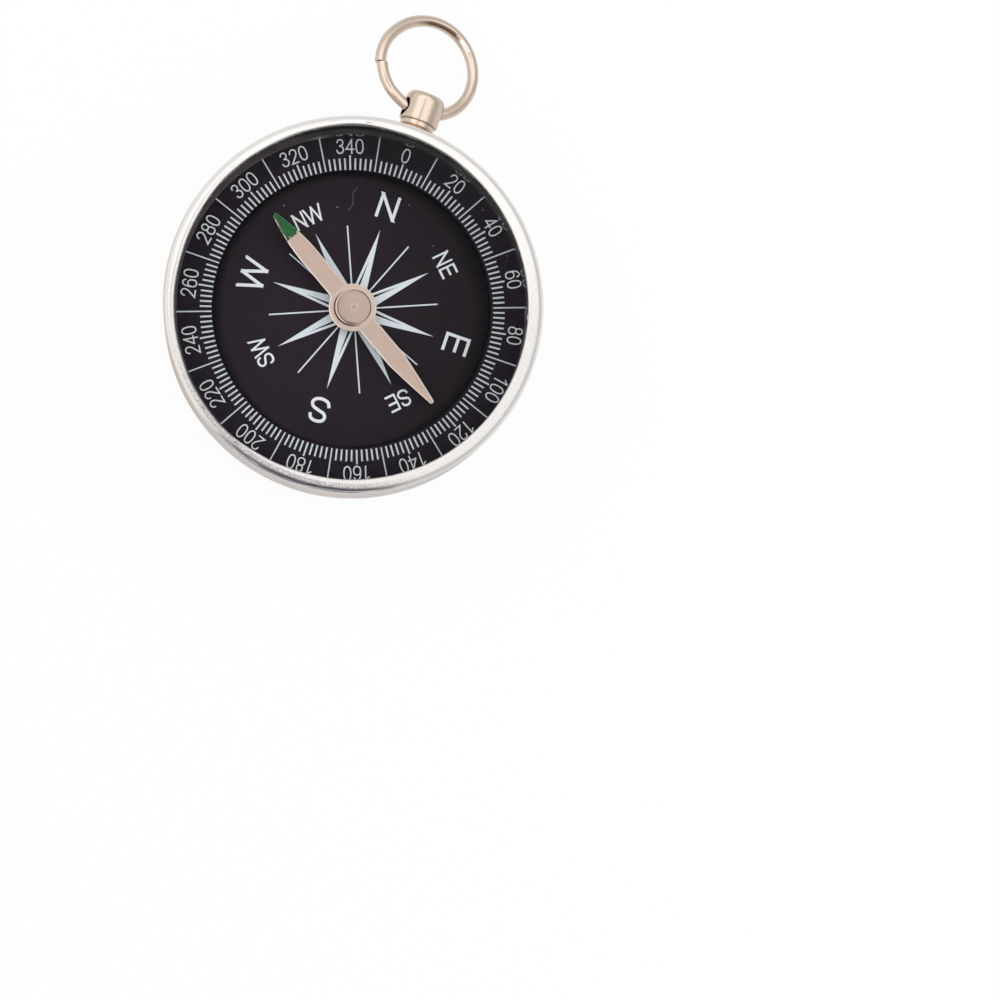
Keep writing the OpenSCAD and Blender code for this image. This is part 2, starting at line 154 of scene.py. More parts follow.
class CompassSizes(PropertyGroup):
    """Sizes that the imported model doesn't hold."""

    back_round: length("Back rounding", "Rounding of the case's back edge", 0.8)
    case_wall: length("Wall", "Thickness of the case's wall", 0.6)
    floor_t: length("Floor", "Thickness of the case's floor", 1)
    neck_wall: length("Neck", "Thickness of the neck under the bezel", 0.3)
    seam: length("Seam", "Height of the seam under the bezel", 0.12)
    bezel_round: length("Bezel shoulder", "Rounding of the bezel's outer edge", 0.95)
    bezel_off: length("Bezel offset", "How far the bezel's outer edge is off the opening's middle", 0.26)
    lip_reach: length("Lip reach", "How far the bezel's lip covers the crystal", 0.98)
    lip_round: length("Lip rounding", "Rounding of the lip's inner edge", 0.28)
    break_edge: length("Broken edge", "Rounding of edges that are only deburred", 0.06)
    nick_w: length("Nick width", "Width of the nicks in the lip", 0.5)
    nick_d: length("Nick depth", "Depth of the nicks in the lip", 0.12)
    crystal_bevel: length("Crystal bevel", "Bevel of the crystal's edges", 0.12)
    wall_t: length("Wall tube", "Thickness of the black wall round the degree ring", 0.55)
    wall_foot_w: length("Wall foot", "Width of the slope at the foot of the black wall", 0.22)
    wall_foot_h: length("Wall foot height", "Height of that slope", 0.365)
    number_h: length("Number height", "Height of the numbers on the degree ring", 1.8)
    number_stroke: length("Number stroke", "Width of the strokes of the numbers", 0.162)
    number_r: length("Number circle", "Radius of the circle through the numbers' middles", 19.56)
    letter_h: length("Letter height", "Height of the four main letters", 3.1)
    letter_stroke: length("Letter stroke", "Width of the strokes of the main letters", 0.38)
    pair_h: length("Pair height", "Height of the letter pairs", 2.1)
    pair_stroke: length("Pair stroke", "Width of the strokes of the letter pairs", 0.27)
    blade_edge: length("Blade edge", "Chamfer along the needle's edges", 0.13)
    blade_edge_h: length("Blade edge height", "Height of the chamfer along the needle's upper edges", 0.05)
    cap_bevel: length("Cap bevel", "Bevel round the cap's top", 0.35)
    cap_bevel_h: length("Cap bevel height", "Height of the bevel round the cap's top", 0.17)
    cap_off: length("Cap offset", "How far the cap's top is off its foot", 0.17)
    cap_groove: length("Cap groove", "Depth of the turned rings on the cap", 0.012)
    cap_dimple_r: length("Cap dimple", "Radius of the lathe's mark in the cap", 0.12)
    collar_rim: length("Collar rim", "Half of the thickness of the collar's rim", 0.22)
    collar_rim_r: length("Collar rim radius", "Radius of the collar's rim", 2.34)
    collar_rim_out: length("Collar rim place", "How far the rim's middle stands out from the bezel", 0.45)
    wire_r: length("Wire", "Radius of the bow ring's wire", 0.67)
    bow_r: length("Bow ring", "Radius of the bow ring along its wire", 6.06)
    bow_slide: length("Bow slide", "How far the bow ring has slid in its hole", 0.6)
    crown_turn: angle("Crown turn", "Turn of the crown about its own line", 18)
    bow_drop: angle("Bow drop", "Drop of the bow ring from the crown's line", 12.5)


class CompassFinishes(PropertyGroup):
    """Colours of the pieces."""

    bezel: colour("Bezel", "Aluminium of the bezel", 238, 235, 232)
    case: colour("Case", "Aluminium of the case", 228, 215, 209)
    nickel: colour("Nickel", "Plating of the crown, the collar and the ring", 230, 211, 193)
    needle: colour("Needle", "Steel of the needle", 205, 182, 168)
    cap: colour("Cap", "Turned cap on the needle", 207, 184, 171)
    dial: colour("Dial", "Ink of the sunk dial", 39, 31, 39)
    ring: colour("Ring", "Ink of the degree ring", 35, 28, 37)
    wall: colour("Wall", "Enamel of the wall round the ring", 81, 74, 77)
    print: colour("Print", "Pale ink of lines, letters and numbers", 220, 229, 234)
    paint: colour("Paint", "Paint of the north tip", 24, 82, 44)
    brass: colour("Brass", "Brass of the pivot's bush", 205, 170, 110)
    steel: colour("Steel", "Steel of the pivot's pin", 190, 190, 192)
    rubber: colour("Rubber", "Seal under the crystal", 14, 12, 14)
    carrier: colour("Carrier", "Moulded carrier under the dial", 120, 118, 116)
    jewel: colour("Jewel", "Glass of the needle's bearing", 200, 150, 150)


class CompassStage(PropertyGroup):
    """Camera, floor and lamps."""

    lens: number("Lens", "Focal length in millimetres", 66.6, min=1)
    camera_place: vector("Camera", "Place of the camera", (5.766 * MM, -28.248 * MM, 225.535 * MM),
                         subtype="TRANSLATION", unit="LENGTH")
    camera_right: vector("Camera right", "Direction of the picture's right side",
                         (0.939877, 0.327374, 0.097244), subtype="XYZ")
    camera_view: vector("Camera view", "Direction in which the camera looks",
                        (0.083152, 0.056808, -0.994916), subtype="XYZ")
    floor_size: number("Floor", "Side of the floor", 3, unit="LENGTH")
    key_power: number("Key lamp", "Power of the key lamp in watts", 1.1, min=0)
    fill_power: number("Fill lamp", "Power of the fill lamp in watts", 0.5, min=0)
    sky_light: number("Sky", "Strength of the room's light", 0.8, min=0)


def sum_of(operation, swapped=False):
    """A method that joins a value to others in one Math node."""
    return lambda self, *others: self.math(operation, *others, swapped=swapped)


class Value:
    """A shader socket that Python's sums work on: each adds its Math node."""

    def __init__(self, shader, socket):
        self.shader = shader
        self.socket = socket

    def math(self, operation, *others, swapped=False):
        inputs = [*others, self] if swapped else [self, *others]
        return self.shader.node("Math", {"operation": operation}, dict(enumerate(inputs)))

    __add__, __radd__ = sum_of("ADD"), sum_of("ADD", swapped=True)
    __sub__, __rsub__ = sum_of("SUBTRACT"), sum_of("SUBTRACT", swapped=True)
    __mul__, __rmul__ = sum_of("MULTIPLY"), sum_of("MULTIPLY", swapped=True)
    __truediv__, __rtruediv__ = sum_of("DIVIDE"), sum_of("DIVIDE", swapped=True)
    __pow__ = sum_of("POWER")
    __abs__ = sum_of("ABSOLUTE")
    larger = sum_of("MAXIMUM")
    smaller = sum_of("MINIMUM")
    wave = sum_of("SINE")
    turn_from = sum_of("ARCTAN2")

    def step(self, start, end):
        """0 below start, 1 above end, and smooth between them. The two may come in either order."""
        if start > end:
            return 1 - self.step(end, start)
        return self.shader.node("MapRange", {"interpolation_type": "SMOOTHSTEP"},
                                {"Value": self, "From Min": start, "From Max": end})

    def band(self, start, full, ending, end):
        """1 from full to ending, and 0 outside start and end."""
        return self.step(start, full) * self.step(end, ending)

    def axes(self):
        return [self.shader.node("SeparateXYZ", inputs={0: self}, output=axis) for axis in range(3)]

    def polar(self):
        """Distance from the place's centre in millimetres, and the turn about it in radians."""
        x, y, _ = self.axes()
        return (x * x + y * y) ** 0.5, x.turn_from(y)

    def noise(self, scale, detail=3, roughness=0.55):
        settings = {"Vector": self, "Scale": scale, "Detail": detail, "Roughness": roughness}
        return self.shader.node("TexNoise", inputs=settings)

    def rings(self, pitch):
        """Rings of uneven height, as a lathe leaves them, about pitch millimetres apart."""
        radius, _ = self.polar()
        return self.shader.vector(radius / pitch).noise(1, detail=2)

    def specks(self, scale, outer, inner):
        """1 in small round specks that are scattered over the surface."""
        return self.shader.node("TexVoronoi", inputs={"Vector": self, "Scale": scale}).step(outer, inner)

    def spots(self, *spots):
        """1 within round spots, each an x, a y and a radius in millimetres, on a place without height."""
        return sum(self.away_from((x, y, 0)).step(radius, radius * 0.4) for x, y, radius in spots)

    def away_from(self, point):
        return self.shader.node("VectorMath", {"operation": "DISTANCE"}, {0: self, 1: point}, "Value")


class Shader:
    """A material, a world or a lamp whose nodes come from node() and from sums of values."""

    def __init__(self, owner):
        owner.use_nodes = True
        self.owner = owner
        self.tree = owner.node_tree
        self.tree.nodes.clear()
        self.shade = None

    def node(self, kind, settings=None, inputs=None, output=0):
        made = self.tree.nodes.new("ShaderNode" + kind)
        for name, value in (settings or {}).items():
            setattr(made, name, value)
        for name, value in (inputs or {}).items():
            if isinstance(value, Value):
                self.tree.links.new(value.socket, made.inputs[name])
            else:
                made.inputs[name].default_value = value
        return Value(self, made.outputs[output])

    def mix(self, share, first, second):
        """A colour between two, each a tuple or a value."""
        mix_share, mix_first, mix_second, mixed = 0, 6, 7, 2
        whole = [c if isinstance(c, Value) else (*c, 1) for c in (first, second)]
        return self.node("Mix", {"data_type": "RGBA"},
                         {mix_share: share, mix_first: whole[0], mix_second: whole[1]}, mixed)

    def base(self, tint, share, second):
        """Starts the material's colour: a tint with a share of a second colour."""
        self.shade = self.mix(share, tuple(tint), second)

    def coat(self, share, *shown):
        """Lays a colour, as a display shows it, over the material's colour."""
        self.shade = self.mix(share, self.shade, display(*shown))

    def place(self, scale=(1, 1, 1), turn=(0, 0, 0), centre=(0, 0, 0)):
        """The place on the object in millimetres from a centre, turned and stretched."""
        coordinates = self.node("TexCoord", output="Object")
        moved = self.node("VectorMath", {"operation": "SUBTRACT"}, {0: coordinates, 1: centre})
        turned = self.node("Mapping", {"vector_type": "POINT"}, {"Vector": moved, "Rotation": turn})
        stretch = [factor / MM for factor in scale]
        return self.node("VectorMath", {"operation": "MULTIPLY"}, {0: turned, 1: stretch})

    def vector(self, *parts):
        return self.node("CombineXYZ", inputs=dict(enumerate(parts)))

    def surface(self, rough, bump=None, **sockets):
        """Ends the material, with a bump of a height and a depth in millimetres."""
        named = {name.replace("_", " "): value for name, value in sockets.items()}
        if bump:
            relief = {"Height": bump[0], "Distance": bump[1] * MM, "Strength": 1}
            named["Normal"] = self.node("Bump", inputs=relief)
        named.update({"Base Color": self.shade, "Roughness": rough})
        self.node_end("OutputMaterial", self.node("BsdfPrincipled", inputs=named))
        return self.owner

    def node_end(self, kind, shader):
        end = self.tree.nodes.new("ShaderNode" + kind)
        self.tree.links.new(shader.socket, end.inputs["Surface"])


def material(name, **seat):
    """The shader of a new material, and the place on its object."""
    shader = Shader(bpy.data.materials.new(name))
    return shader, shader.place(**seat)


def darker(tint, share):
    return tuple(channel * share for channel in tint)


def picture_sides(x, y, radius):
    """How far a place lies towards the picture's right and towards its top, each from -1 to 1."""
    return [(x * way_x + y * way_y) / radius for way_x, way_y in (PICTURE_RIGHT, PICTURE_UP)]


def bezel_metal(colours, off):
    """Aluminium: a rough flat beside the crystal and a smoother shoulder, with painted reflections and
    shade: darker and blue-grey reflections at the bottom, a brown reflection at the picture's left,
    near-black shade under the lip, and a lighter band below the top and a lighter upper side.
    """
    shader, place = material("bezel_metal", centre=(off, 0, 0))
    x, y, height = place.axes()
    radius, turn = place.polar()
    right, up = picture_sides(x, y, radius)
    lower_left = (y * 0.98 + x * 0.17) / radius
    inset = SHOULDER_R / MM - radius
    depth = BEZEL_TOP / MM - height
    flat = inset.step(0.4, 0.6) * depth.step(0.2, 0.08)
    grain = place.noise(6, detail=4, roughness=0.7)
    streak = shader.vector(radius * 5, turn * 8, height * 5).noise(1, detail=4, roughness=0.65)
    shader.base(colours.bezel, flat * grain.step(0.42, 0.72) * 0.45, display(196, 188, 188))
    # Painted darker reflection on the flat at the lower left, broken up by the grain.
    wear_and_painted_reflection = flat * lower_left.step(-0.6, -0.95) * inset.step(1.18, 1)
    shader.coat(wear_and_painted_reflection * grain.step(0.35, 0.55) * 0.9, 176, 168, 170)
    # Painted brown reflection low on the shoulder towards the picture's left.
    edge = right.step(-0.75, -0.95) * depth.step(0.32, 0.48)
    shader.coat(edge * 0.9, 236, 206, 178)
    # Painted shade: the lip's inner face and underside are made near black.
    shader.coat(inset.step(0.45, 0.5) * depth.step(0.24, 0.34), 14, 11, 14)
    shader.coat(streak.step(0.5, 0.75) * (1 - flat) * 0.3, 206, 201, 202)
    # Painted highlights: a lighter band just below the top, except at the bottom, and the whole upper side
    # lighter.
    rim = (depth.band(0.06, 0.2, 0.6, 0.9) * up.step(-0.95, -0.6)).larger(up.step(-0.2, 0.5) * 0.6)
    shader.coat(rim * (1 - edge), 255, 252, 248)
    # Painted blue-grey reflection just below the top at the bottom, streaked.
    painted_blue_reflection = (y / radius).step(-0.78, -0.97) * depth.band(0.04, 0.18, 0.55, 0.75) * streak.step(0.4, 0.55)
    shader.coat(painted_blue_reflection * 0.8, 112, 112, 130)
    rough = 0.2 + flat * 0.2 + grain * 0.1 + painted_blue_reflection * 0.1
    return shader.surface(rough, (grain * flat + streak * 0.25, 0.02), Metallic=1)


def case_metal(colours):
    """Drawn aluminium with fine upright lines, slightly pink, with a painted brown reflection towards the
    picture's left.
    """
    shader, place = material("case_metal")
    x, y, height = place.axes()
    radius, turn = place.polar()
    right, _ = picture_sides(x, y, radius)
    drawn = shader.vector(turn * 60, height * 0.8, radius * 0.8).noise(1)
    back = height.step(0.3, 0.05)
    shader.base(colours.case, place.noise(0.3).step(0.35, 0.7) * 0.3, display(200, 188, 184))
    # Painted brown reflection on the side towards the picture's left.
    shader.coat(right.step(-0.6, -0.95) * 0.6, 206, 176, 148)
    marks = drawn * (1 - back) + place.rings(0.12) * back
    return shader.surface(0.3 + drawn * 0.14, (marks, 0.01), Metallic=1)


def tarnish(shader, centre, reach):
    """A painted dark reflection along the bow ring's inner side, towards the upper right, and a painted
    highlight beside it.
    """
    around = shader.place(scale=(1.05, 1.02, 0), centre=centre)
    x, y, _ = around.axes()
    radius, _ = around.polar()
    end = y.turn_from(x) + around.noise(0.9, detail=2) * 0.3
    band = radius.band(reach - 0.6, reach - 0.42, reach - 0.15, reach)
    # Painted dark reflection along the ring's inner side.
    shader.coat(band * end.band(1.27, 1.42, 1.95, 2.4) * 0.9, 92, 66, 54)
    # Painted highlight beside the dark reflection.
    shader.coat(band * end.band(0.9, 1.05, 1.2, 1.32) * 0.8, 255, 252, 246)


def plated_metal(name, tint, rough, fine, hole=None, stain_and_reflection=None):
    """Bright plating with fine waves and a slight bloom; a hole's bore gets painted shade, and a ring can
    get a painted reflection.
    """
    shader, place = material(name)
    cloud = place.noise(fine)
    grain = place.noise(14, detail=2)
    shader.base(tint, cloud.step(0.4, 0.75) * 0.25, darker(tint, 0.75))
    if hole:
        turn, reach = hole
        _, y, z = shader.place(turn=(0, -turn, 0), centre=(0, HOLE_Y, CROWN_Z)).axes()
        # Painted shade: near black within the hole's reach.
        shader.coat(((y * y + z * z) ** 0.5).step(reach, reach - 0.08), 34, 24, 18)
    if stain_and_reflection:
        tarnish(shader, *stain_and_reflection)
    return shader.surface(rough + grain * 0.08, (cloud * 0.7 + grain * 0.3, 0.006), Metallic=1)


def needle_metal(colours):
    """Thin plating on the flat needle: fine specks, a painted light ring round the cap, and painted
    highlights on the chamfers along both edges.
    """
    shader, place = material("needle_steel", **NEEDLE_SEAT)
    cloud = place.noise(0.8, detail=4)
    light = place.noise(9, roughness=0.7)
    _, _, facing = shader.node("TexCoord", output="Normal").axes()
    radius, _ = place.polar()
    cap_r = CAP_R / MM
    shader.base(colours.needle, cloud.step(0.45, 0.8) * 0.25, darker(colours.needle, 0.8))
    # Painted light: lighter round the cap, over the shade that gathers at its foot.
    shader.coat(radius.step(cap_r + 0.7, cap_r) * 0.5, 238, 215, 200)
    shader.coat(place.specks(2.4, 0.1, 0.04) * cloud.step(0.45, 0.6) * 0.6, 120, 96, 84)
    # Painted highlights: the chamfers, which lean away from straight up, are whiter.
    shader.coat(facing.step(0.97, 0.9), 255, 246, 236)
    return shader.surface(0.3 + light * 0.1, (light * 0.5 + cloud, 0.008), Metallic=1)


def cap_metal(colours, off):
    """The turned cap: fine rings round its own middle, painted dark reflection lines on the lower left of
    its bevel, painted light on the right of its side, and a slight darkening along its rings.
    """
    shader, place = material("cap_metal", centre=(off[0], PIVOT_Y + off[1], 0))
    marks = place.rings(0.2)
    from_middle, _ = place.polar()
    stain_and_reflection = marks.step(0.4, 0.65) * 0.7 + place.noise(0.9) * 0.1
    shader.base(colours.cap, stain_and_reflection, darker(colours.cap, 0.78))
    shader.coat(from_middle.band(0.24, 0.34, 0.42, 0.5) * 0.25, 246, 230, 216)
    shader.coat(from_middle.step(0.22, 0.12) * 0.35, 140, 114, 98)
    x, y, height = shader.place().axes()
    disc_r = 2.3
    right, up = picture_sides(x, y - PIVOT_Y / MM, disc_r)
    side = right * 0.85 + up * 0.4
    below = CAP_TOP / MM - height
    # Painted dark reflection lines at the top and foot of the bevel, on its lower left.
    lines = below.band(0.005, 0.02, 0.045, 0.07) + below.step(0.11, 0.14)
    shader.coat(lines.smaller(1) * side.step(0.1, -0.7) * 0.9, 48, 36, 32)
    # Painted light: the side below the bevel, towards the picture's right, is pale and not metallic, to lift
    # its dark shade.
    painted_light_side = below.step(0.12, 0.17) * side.step(-0.3, 0.2)
    shader.coat(painted_light_side, 246, 224, 208)
    return shader.surface(0.26 + marks * 0.16, (marks, 0.006), Metallic=1 - painted_light_side)


def black_ink(shader, place, tint, dust):
    """Starts black ink with a little pale dust, and gives back its fine grain."""
    spread = place.noise(0.7)
    large = place.specks(1.1, 0.075, 0.03) * spread.step(0.5, 0.58)
    small = place.specks(2.6, 0.1, 0.04) * spread.step(0.42, 0.56) * 0.75
    shader.base(tint, place.noise(0.22).step(0.3, 0.75) * 0.3, darker(tint, 0.72))
    shader.coat((large + small).smaller(1) * dust, 128, 122, 128)
    return place.noise(9, roughness=0.7)


def dial_black(colours):
    """The sunk dial: painted shade round the ring's inner edge and towards the picture's right, with a faint
    fibre and a few specks of dust.
    """
    shader, place = material("dial_black")
    x, y, _ = place.axes()
    radius, _ = place.polar()
    right, up = picture_sides(x, y, radius)
    grain = black_ink(shader, place, colours.dial, 0.4)
    fibre_x = -4.33 - (y - 12.6) * 0.084 + ((y - 13.75) * 2.9).wave() * 0.14
    fibre = abs(x - fibre_x).step(0.1, 0.03) * y.band(11, 11.3, 14, 14.3)
    flat = shader.place((1, 1, 0))
    dust = flat.spots((2.22, 14.32, 0.13), (6.57, 10.64, 0.12), (-11.79, 9.09, 0.13), (-5.75, 11.1, 0.14))
    shader.coat((dust * 0.6 + fibre * 0.2).smaller(1), 168, 160, 164)
    # Painted shade: darker towards the picture's right.
    across, _ = picture_sides(x, y, WELL_R / MM + 0.4)
    shader.coat(across.step(-0.7, 1) * 0.5, 26, 19, 24)
    width = 0.8 + right * right * 1.3 + right * 0.6 + up * 0.35
    shader.coat(((radius - WELL_R / MM + width) / width).step(0, 1) * 0.95, 3, 2, 4)
    return shader.surface(0.5 + grain * 0.15, (grain, 0.005), Specular_IOR_Level=0.12)


def ring_black(colours):
    """The degree ring's satin ink, with a smudge of print and specks of dust."""
    shader, place = material("ring_black")
    flat = shader.place((1, 1, 0))
    grain = black_ink(shader, place, colours.ring, 0.35)
    dust = flat.spots((10.79, 16.64, 0.12), (15.35, 12.39, 0.13))
    smudge = flat.spots((-6.96, -16.29, 0.3)) * grain.step(0.4, 0.5)
    shader.coat((dust * 0.5 + smudge * 0.8).smaller(1), 168, 164, 168)
    return shader.surface(0.45 + grain * 0.15, (grain, 0.005), Specular_IOR_Level=0.12)


def glossy_wall(colours):
    """Brownish black enamel, smooth enough to mirror the numbers beside it, with painted near-black shade
    under the lip.
    """
    shader, place = material("wall_enamel")
    radius, turn = place.polar()
    _, _, height = place.axes()
    rise = height - RING_TOP / MM
    smear = shader.vector(turn * 40, height * 1.5, radius).noise(1, detail=4, roughness=0.7)
    foot = rise.step(0.45, 0.35) * turn.band(-0.62, -0.42, 1.18, 1.3)
    shader.base(colours.wall, smear.step(0.35, 0.8) * 0.4, display(58, 52, 52))
    shader.coat(foot, 188, 184, 192)
    # Painted shade: near black on the upper wall, under the lip.
    shader.coat(rise.step(2.7, 3.1), 4, 3, 4)
    return shader.surface(0.5 - foot * 0.46 + smear * 0.06, Metallic=foot, Specular_IOR_Level=0.3)


def printed_ink(colours):
    """Pale screen ink, a little thin in places."""
    shader, place = material("white_print")
    thin = place.noise(5, roughness=0.7)
    wear_and_painted_reflection = thin.step(0.45, 0.85) * 0.3 + place.noise(0.8).step(0.5, 0.8) * 0.12
    shader.base(colours.print, wear_and_painted_reflection, display(150, 160, 170))
    return shader.surface(0.5 + thin * 0.2, (thin, 0.005))


def worn_paint(colours):
    """Green paint over the north tip, streaked along, chipped at its left edge and its rear corner."""
    shader, place = material("north_paint", **NEEDLE_SEAT)
    across, along, _ = place.axes()
    ragged = place.noise(2.6)
    streak = shader.place((5, 1, 1), **NEEDLE_SEAT).noise(1.2)
    widest, taper, bulge = 8, 6.16, 0.825
    half = TIP_R / MM + (1 - ((along - widest) / taper) ** 1.9) * bulge
    from_edge = half - abs(across)
    gaps = place.noise(1.7, detail=1).step(0.46, 0.52)
    dashes = from_edge.step(0.16, 0.1) * across.step(-0.1, -0.2) * gaps
    chips = shader.place((1, 1, 0), **NEEDLE_SEAT).spots((0.74, 11.02, 0.2), (-0.36, 11.12, 0.14))
    rear = (along + (ragged - 0.5) * 0.3).step(11, 10.93)
    bare = (dashes + chips + rear).smaller(1)
    shader.base(colours.paint, streak.step(0.4, 0.75) * 0.5, display(44, 110, 64))
    shader.coat(place.noise(5, detail=2).step(0.52, 0.66) * 0.3, 62, 136, 84)
    shader.coat(from_edge.step(0.1, 0.02) * 0.5, 120, 160, 120)
    shader.shade = shader.mix(bare, shader.shade, tuple(colours.needle))
    bump = (streak * (1 - bare), 0.012)
    return shader.surface(0.4 + ragged * 0.12, bump, Metallic=bare, Specular_IOR_Level=0.3)


def clear_crystal():
    """Thin clear glass: it only adds its reflection, which grows towards the horizon."""
    shader, place = material("crystal_glass")
    facing = shader.node("LayerWeight", inputs={"Blend": 0.5}, output="Facing")
    smear = place.noise(0.4, detail=2)
    shader.shade = (0.95, 0.97, 0.97, 1)
    return shader.surface(0.02 + smear * 0.02, Metallic=1, Alpha=0.008 + (facing ** 4) * 0.6)


def plain_finish(name, tint, rough, metallic=0):
    """A quiet finish for the pieces that hardly show, with a fine grain of its own."""
    shader, place = material(name)
    grain = place.noise(6)
    shader.base(tint, grain.step(0.3, 0.8) * 0.4, darker(tint, 0.75))
    return shader.surface(rough + grain * 0.15, (grain, 0.006), Metallic=metallic)


def dress(node, finish):
    """Gives a carried-over CAD node its finish."""
    slots = frame["nodes"][node].data.materials
    for index in range(len(slots)):
        slots[index] = finish


def settings_of(context):
    """The sizes and the colours that the panel shows."""
    return context.scene.compass_sizes, context.scene.compass_finishes


def finish_piece(piece, finish, body, slot, *nodes):
    """Gives a new piece its material and body, and hides the nodes that it stands for; the slot is not used.
    """
    piece.data.materials.clear()
    piece.data.materials.append(finish)
    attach(piece, body)
    if nodes:
        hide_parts(*nodes)


def arc(centre, radius, start, end, steps):
    """Points round part of a circle, in degrees, both ends included."""
    turns = [math.radians(start + (end - start) * i / steps) for i in range(steps + 1)]
    return [(centre[0] + radius * math.cos(t), centre[1] + radius * math.sin(t)) for t in turns]


def smooth_line(points, steps=5):
    """A smooth curve through the points, as a list of points."""
    padded = [points[0], *points, points[-1]]
    line = []
    for quad in zip(padded, padded[1:], padded[2:], padded[3:]):
        for i in range(steps):
            t = i / steps
            line.append(tuple(0.5 * (2 * s + (e - b) * t + (2 * b - 5 * s + 4 * e - a) * t ** 2
                                     + (3 * s - b - 3 * e + a) * t ** 3) for b, s, e, a in zip(*quad)))
    return [*line, points[-1]]


def deselect_all():
    if bpy.context.object and bpy.context.object.mode == "EDIT":
        bpy.ops.object.mode_set(mode="OBJECT")
    bpy.ops.object.select_all(action="DESELECT")


def pick(*pieces):
    """Selects the pieces and makes the first one active."""
    deselect_all()
    for piece in pieces:
        piece.select_set(True)
    bpy.context.view_layer.objects.active = pieces[0]


def edit(piece):
    pick(piece)
    bpy.ops.object.mode_set(mode="EDIT")
    bpy.ops.mesh.select_all(action="SELECT")


def leave_edit():
    bpy.ops.object.mode_set(mode="OBJECT")


def fix_place(piece):
    """Puts the piece's place into its mesh, so that its object sits at the origin."""
    pick(piece)
    bpy.ops.object.transform_apply(location=True, rotation=True, scale=True)


def use_modifier(piece, kind, **settings):
    pick(piece)
    modifier = piece.modifiers.new(kind.title(), kind)
    for name, value in settings.items():
        setattr(modifier, name, value)
    bpy.ops.object.modifier_apply(modifier=modifier.name)


def smooth_shading(piece, degrees):
    pick(piece)
    bpy.ops.object.shade_smooth_by_angle(angle=math.radians(degrees))


def draw_line(name, points):
    """Draws edges from point to point, one extrusion at a time, and stays in edit mode."""
    deselect_all()
    bpy.ops.mesh.primitive_circle_add(vertices=3, radius=MM, location=points[0])
    piece = bpy.context.object
    piece.name = name
    fix_place(piece)
    edit(piece)
    bpy.ops.mesh.merge(type="CENTER")
    for start, end in zip(points, points[1:]):
        bpy.ops.mesh.extrude_region_move(TRANSFORM_OT_translate={"value": Vector(end) - Vector(start)})
    bpy.ops.mesh.select_all(action="SELECT")
    return piece


def turn_section(name, section, steps):
    """Turns a section, drawn as radius and height in metres, about Z. The section ends where it began."""
    piece = draw_line(name, [(r, 0, z) for r, z in section])
    bpy.ops.mesh.spin(steps=steps, angle=2 * math.pi, center=(0, 0, 0), axis=(0, 0, 1))
    bpy.ops.mesh.select_all(action="SELECT")
    bpy.ops.mesh.remove_doubles(threshold=MERGE)
    bpy.ops.mesh.normals_make_consistent(inside=False)
    leave_edit()
    return piece


def corner(inner, height, radius, start, end):
    """A rounded corner of a section about a centre."""
    return arc((inner, height), radius, start, end, ROUND_STEPS)


def select_where(piece, chosen):
    """Goes to edit mode with only those shown vertices selected whose places are chosen."""
    edit(piece)
    bpy.ops.mesh.select_all(action="DESELECT")
    leave_edit()
    for vertex in piece.data.vertices:
        vertex.select = not vertex.hide and chosen(vertex.co)
    bpy.context.tool_settings.mesh_select_mode = (True, False, False)
    bpy.ops.object.mode_set(mode="EDIT")


def move_vertices(piece, way, chosen, **settings):
    """Moves the vertices whose places are chosen."""
    select_where(piece, chosen)
    bpy.ops.transform.translate(value=way, **settings)
    leave_edit()


def outwards_at(bearing):
    turn = math.radians(bearing)
    return Vector((math.sin(turn), math.cos(turn), 0))


class COMPASS_OT_case(Operator):
    """Makes the case: a drawn cup with a flat back, a leaning wall and a neck"""

    bl_idname = "compass.case"
    bl_label = "Case"

    def execute(self, context):
        sizes, colours = settings_of(context)
        edge = sizes.break_edge
        shoulder_z = SEAM_Z - sizes.seam
        bore_r = SHOULDER_R - sizes.case_wall
        neck_r = bore_r + sizes.neck_wall
        back = sizes.back_round
        section = [(0, 0)]
        section += corner(CASE_R - back, back, back, -90, 0)
        section += corner(SHOULDER_R - edge, shoulder_z - edge, edge, 0, 90)
        section += [(neck_r, shoulder_z)]
        section += corner(neck_r - edge, NECK_TOP - edge, edge, 0, 90)
        section += [(bore_r, NECK_TOP), (bore_r, sizes.floor_t), (0, sizes.floor_t)]
        case = turn_section("case_shell", section, WIDE_STEPS)
        move_vertices(case, (sizes.bezel_off, 0, 0), lambda place: place.z > SEAM_Z / 2)
        smooth_shading(case, 35)
        finish_piece(case, case_metal(colours), "case", "case_metal", "case_cup")
        return {"FINISHED"}


